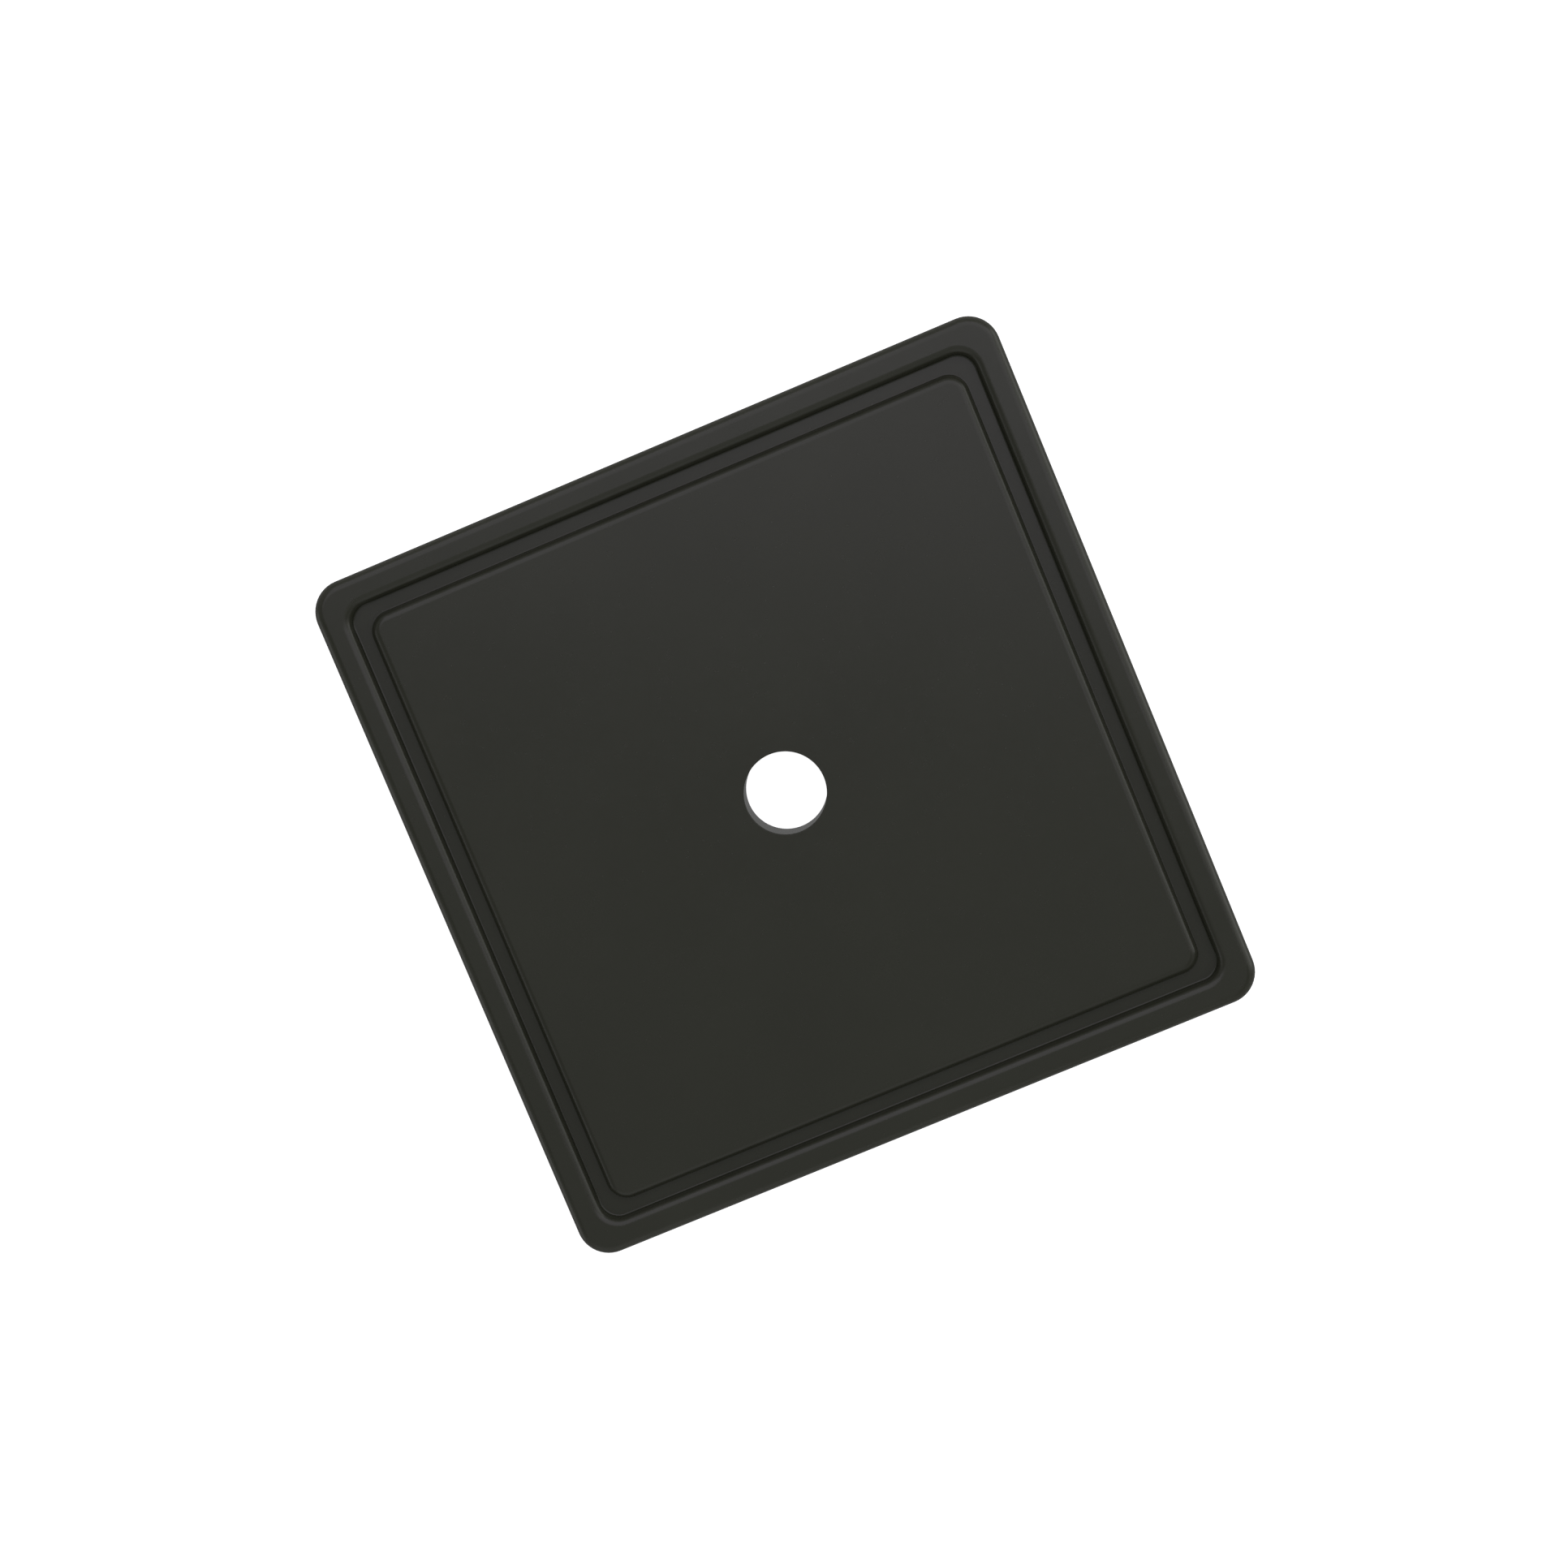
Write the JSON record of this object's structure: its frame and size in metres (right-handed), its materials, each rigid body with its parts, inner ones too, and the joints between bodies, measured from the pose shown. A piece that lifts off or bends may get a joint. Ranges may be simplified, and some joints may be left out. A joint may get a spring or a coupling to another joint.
{
  "type": "cabinet knob backplate",
  "caption": "Square dark metal backplate for a cabinet knob, with a raised rim, a narrow channel, a raised flat panel and a central screw hole.",
  "frame": {"origin": "where the screw hole's axis meets the back plane, at the bottom centre of the plate lying on its back", "axes": "+Z out of the front face along the screw hole, +X and +Y along the plate's sides"},
  "size_m": [0.0382, 0.0382, 0.0032],
  "materials": {
    "dark_metal": "satin black-bronze coating on a zinc casting",
    "pad_rubber": "matt black sheet rubber, guessed",
    "adhesive_film": "pale acrylic adhesive film, guessed"
  },
  "bodies": {
    "root": {"plate": "dark_metal", "back_pad": "pad_rubber", "pad_adhesive": "adhesive_film"}
  },
  "joints": []
}
